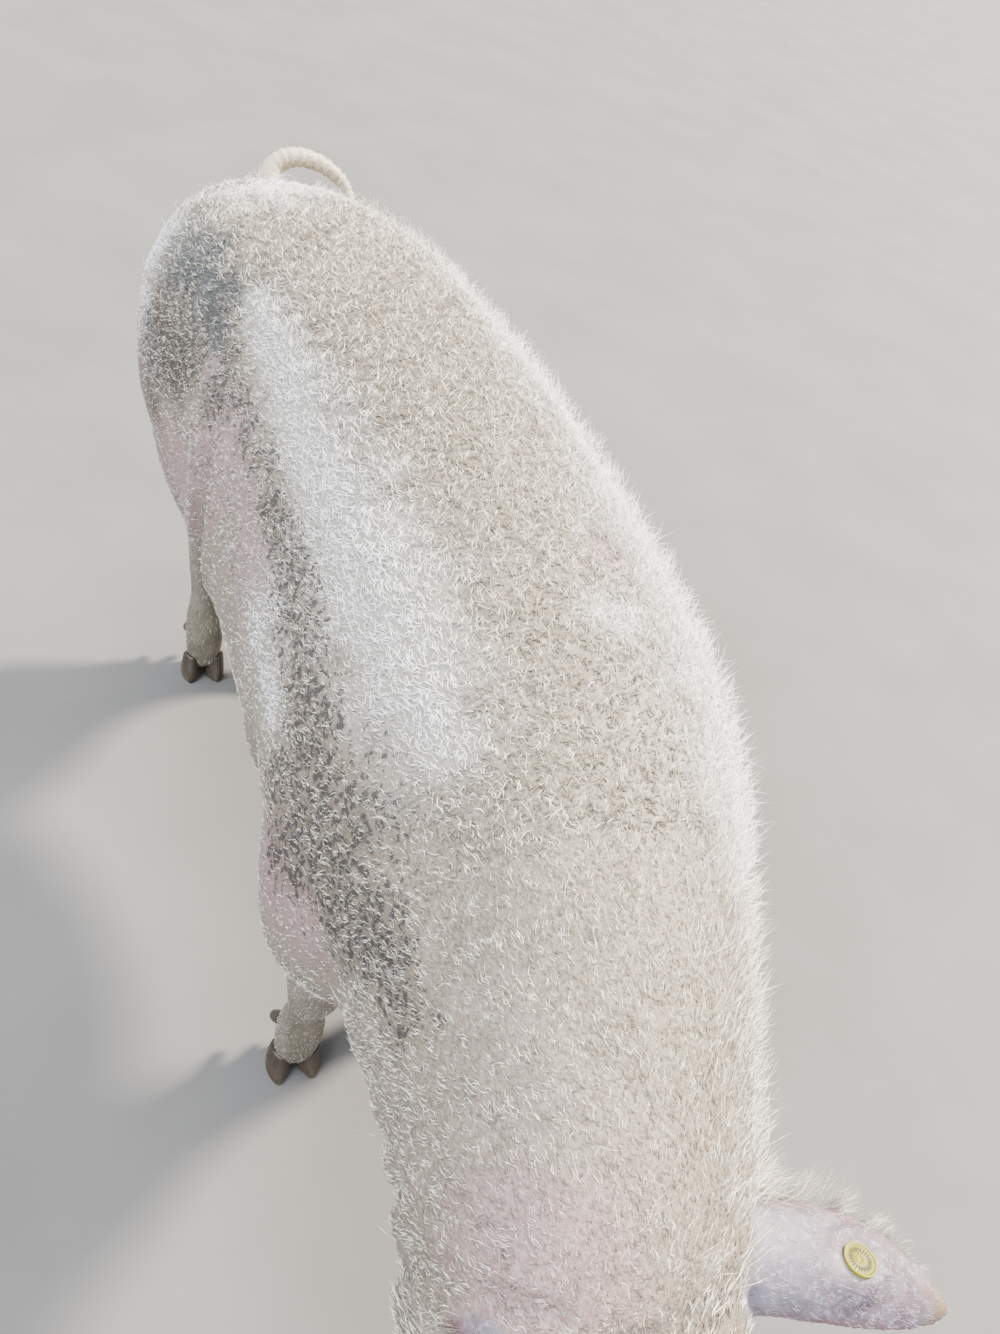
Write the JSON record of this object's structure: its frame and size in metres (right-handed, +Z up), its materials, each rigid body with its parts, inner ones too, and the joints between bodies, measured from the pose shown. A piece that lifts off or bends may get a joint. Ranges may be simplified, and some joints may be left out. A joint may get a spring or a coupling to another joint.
{
  "type": "domestic pig, standing model",
  "caption": "Life-size standing pig with ears held out, bristly pale coat, slate-speckled flank, curled tail, cloven hooves and a plain round ear tag.",
  "frame": {"origin": "on the floor, under the middle of the model's box", "axes": "+Z up, the pig faces -Y, its left side is +X"},
  "size_m": [0.5884, 1.7916, 0.9664],
  "materials": {
    "hide": "pink skin under a dense, wavy, cream-white bristle coat, with slate speckles on the right side",
    "ear_skin": "thin mauve-pink skin, matt, with sparse white hair",
    "hoof_horn": "amber-brown horn, worn and dusty, satin",
    "eye": "wet brown eye, gloss",
    "ear_tag": "moulded yellow plastic, satin, unmarked"
  },
  "bodies": {
    "root": {"claw_fore_left_left": "hoof_horn", "claw_fore_left_right": "hoof_horn", "claw_fore_right_left": "hoof_horn", "claw_fore_right_right": "hoof_horn", "claw_hind_left_left": "hoof_horn", "claw_hind_left_right": "hoof_horn", "claw_hind_right_left": "hoof_horn", "claw_hind_right_right": "hoof_horn", "dew_claw_fore_left_left": "hoof_horn", "dew_claw_fore_left_right": "hoof_horn", "dew_claw_fore_right_left": "hoof_horn", "dew_claw_fore_right_right": "hoof_horn", "dew_claw_hind_left_left": "hoof_horn", "dew_claw_hind_left_right": "hoof_horn", "dew_claw_hind_right_left": "hoof_horn", "dew_claw_hind_right_right": "hoof_horn", "ear_left": "ear_skin", "ear_right": "ear_skin", "eye_left": "eye", "eye_right": "eye", "head": "hide", "leg_lower_fore_left": "hide", "leg_lower_fore_right": "hide", "leg_lower_hind_left": "hide", "leg_lower_hind_right": "hide", "leg_upper_fore_left": "hide", "leg_upper_fore_right": "hide", "leg_upper_hind_left": "hide", "leg_upper_hind_right": "hide", "neck": "hide", "tag_back": "ear_tag", "tag_front": "ear_tag", "tail": "hide", "torso": "hide"}
  },
  "joints": []
}
